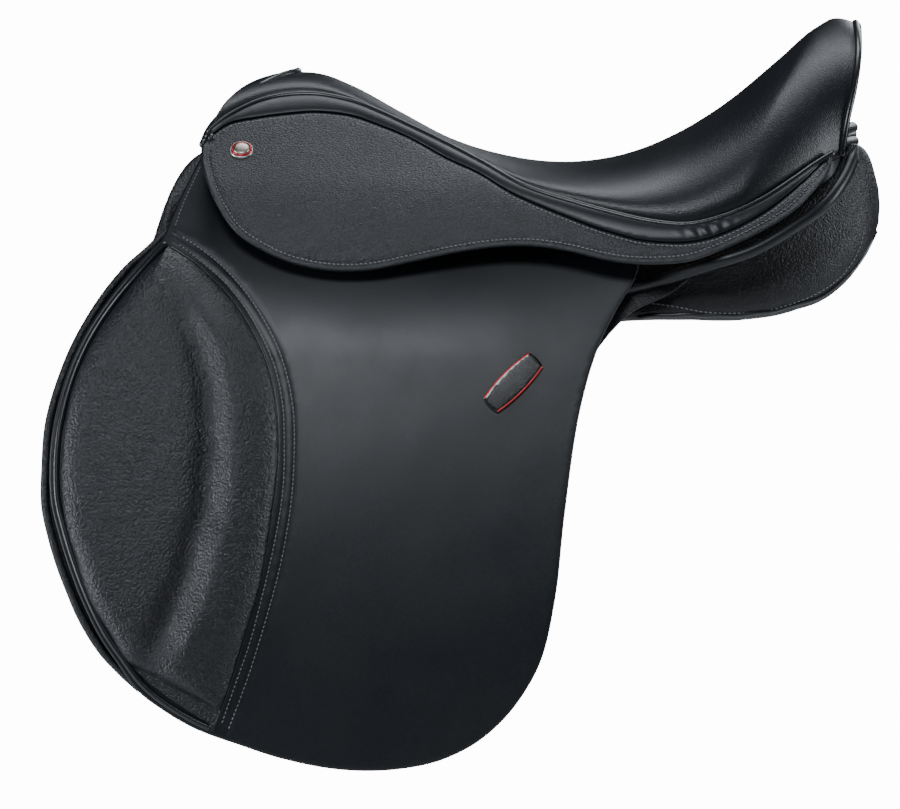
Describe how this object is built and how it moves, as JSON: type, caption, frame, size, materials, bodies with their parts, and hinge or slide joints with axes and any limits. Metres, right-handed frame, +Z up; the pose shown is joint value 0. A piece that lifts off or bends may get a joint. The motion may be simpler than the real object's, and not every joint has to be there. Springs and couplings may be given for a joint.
{
  "type": "english saddle",
  "caption": "General-purpose English saddle with hinged flaps and skirts, knee pads, girth straps, stirrup bars and a panelled underside.",
  "frame": {"origin": "on the centre line at the roof of the gullet channel, below the deepest part of the seat", "axes": "+X rearward from pommel to cantle, +Y to the off (right) side, +Z up"},
  "size_m": [0.5889, 0.4744, 0.5269],
  "materials": {
    "leather": "smooth bridle leather, satin",
    "grain": "pebbled soft leather",
    "seat": "fine-grained seat leather",
    "panel": "grained panel leather over flock",
    "foam": "moulded seat foam",
    "web": "woven linen web",
    "wood": "laminated beech",
    "steel": "ground steel",
    "brass": "plain brass",
    "ring": "red enamel",
    "cap": "brushed grey-brown",
    "badge": "gloss black with red edge lines"
  },
  "bodies": {
    "saddle": {"bar_rivets": "brass", "buckle_guard_near": "leather", "buckle_guard_off": "leather", "cantle_back": "leather", "cantle_welt": "leather", "catch_pins": "steel", "flap_upper_near": "leather", "flap_upper_off": "leather", "girth_web_front": "web", "girth_web_rear": "web", "gullet_plate": "steel", "gullet_screws": "steel", "panel_near": "panel", "panel_off": "panel", "point_pockets": "leather", "pommel_facing": "leather", "seat_cover": "seat", "seat_foam": "foam", "seat_web": "web", "seat_welts": "leather", "skirt_bands": "leather", "skirt_upper_near": "leather", "skirt_upper_off": "leather", "stirrup_bar_near": "steel", "stirrup_bar_off": "steel", "stud_caps": "cap", "stud_rings": "ring", "sweat_flap_near": "leather", "sweat_flap_off": "leather", "sweat_roll_near": "leather", "sweat_roll_off": "leather", "tree": "wood"},
    "flap_near": {"flap_near": "leather", "flap_cord_near": "leather", "knee_pad_near": "grain", "knee_roll_near": "grain", "badge_near": "badge"},
    "skirt_near": {"skirt_near": "leather"},
    "bar_catch_near": {"bar_catch_near": "steel"},
    "girth_strap_1_near": {"girth_strap_1_near": "leather"},
    "girth_strap_2_near": {"girth_strap_2_near": "leather"},
    "girth_strap_3_near": {"girth_strap_3_near": "leather"},
    "flap_off": {"flap_off": "leather", "flap_cord_off": "leather", "knee_pad_off": "grain", "knee_roll_off": "grain", "badge_off": "badge"},
    "skirt_off": {"skirt_off": "leather"},
    "bar_catch_off": {"bar_catch_off": "steel"},
    "girth_strap_1_off": {"girth_strap_1_off": "leather"},
    "girth_strap_2_off": {"girth_strap_2_off": "leather"},
    "girth_strap_3_off": {"girth_strap_3_off": "leather"}
  },
  "joints": [
    {"name": "flap_lift_near", "type": "hinge", "parent": "saddle", "child": "flap_near", "pos_m": [-0.287, -0.12872, 0.02207], "axis": [-0.9526, 0.1449, 0.2673], "range_deg": [0, 55]},
    {"name": "skirt_lift_near", "type": "hinge", "parent": "saddle", "child": "skirt_near", "pos_m": [-0.262, -0.10411, 0.07447], "axis": [-0.9623, 0.1892, 0.1953], "range_deg": [0, 95]},
    {"name": "catch_near", "type": "hinge", "parent": "saddle", "child": "bar_catch_near", "pos_m": [-0.131, -0.11795, 0.045], "axis": [0, -0.7716, 0.6361], "range_deg": [0, 50]},
    {"name": "strap_1_near", "type": "hinge", "parent": "saddle", "child": "girth_strap_1_near", "pos_m": [-0.15, -0.11979, 0.018], "axis": [0, 1, 0], "range_deg": [-6, 6]},
    {"name": "strap_2_near", "type": "hinge", "parent": "saddle", "child": "girth_strap_2_near", "pos_m": [-0.112, -0.11979, 0.018], "axis": [0, 1, 0], "range_deg": [-6, 6]},
    {"name": "strap_3_near", "type": "hinge", "parent": "saddle", "child": "girth_strap_3_near", "pos_m": [-0.074, -0.11979, 0.018], "axis": [0, 1, 0], "range_deg": [-6, 6]},
    {"name": "flap_lift_off", "type": "hinge", "parent": "saddle", "child": "flap_off", "pos_m": [-0.287, 0.12872, 0.02207], "axis": [0.9526, 0.1449, -0.2673], "range_deg": [0, 55]},
    {"name": "skirt_lift_off", "type": "hinge", "parent": "saddle", "child": "skirt_off", "pos_m": [-0.262, 0.10411, 0.07447], "axis": [0.9623, 0.1892, -0.1953], "range_deg": [0, 95]},
    {"name": "catch_off", "type": "hinge", "parent": "saddle", "child": "bar_catch_off", "pos_m": [-0.131, 0.11795, 0.045], "axis": [0, -0.7716, -0.6361], "range_deg": [0, 50]},
    {"name": "strap_1_off", "type": "hinge", "parent": "saddle", "child": "girth_strap_1_off", "pos_m": [-0.15, 0.11979, 0.018], "axis": [0, 1, 0], "range_deg": [-6, 6]},
    {"name": "strap_2_off", "type": "hinge", "parent": "saddle", "child": "girth_strap_2_off", "pos_m": [-0.112, 0.11979, 0.018], "axis": [0, 1, 0], "range_deg": [-6, 6]},
    {"name": "strap_3_off", "type": "hinge", "parent": "saddle", "child": "girth_strap_3_off", "pos_m": [-0.074, 0.11979, 0.018], "axis": [0, 1, 0], "range_deg": [-6, 6]}
  ],
  "couplings": [
    {"joint": "strap_2_near", "follows": "strap_1_near", "ratio": 1},
    {"joint": "strap_3_near", "follows": "strap_1_near", "ratio": 1},
    {"joint": "strap_2_off", "follows": "strap_1_off", "ratio": 1},
    {"joint": "strap_3_off", "follows": "strap_1_off", "ratio": 1}
  ]
}
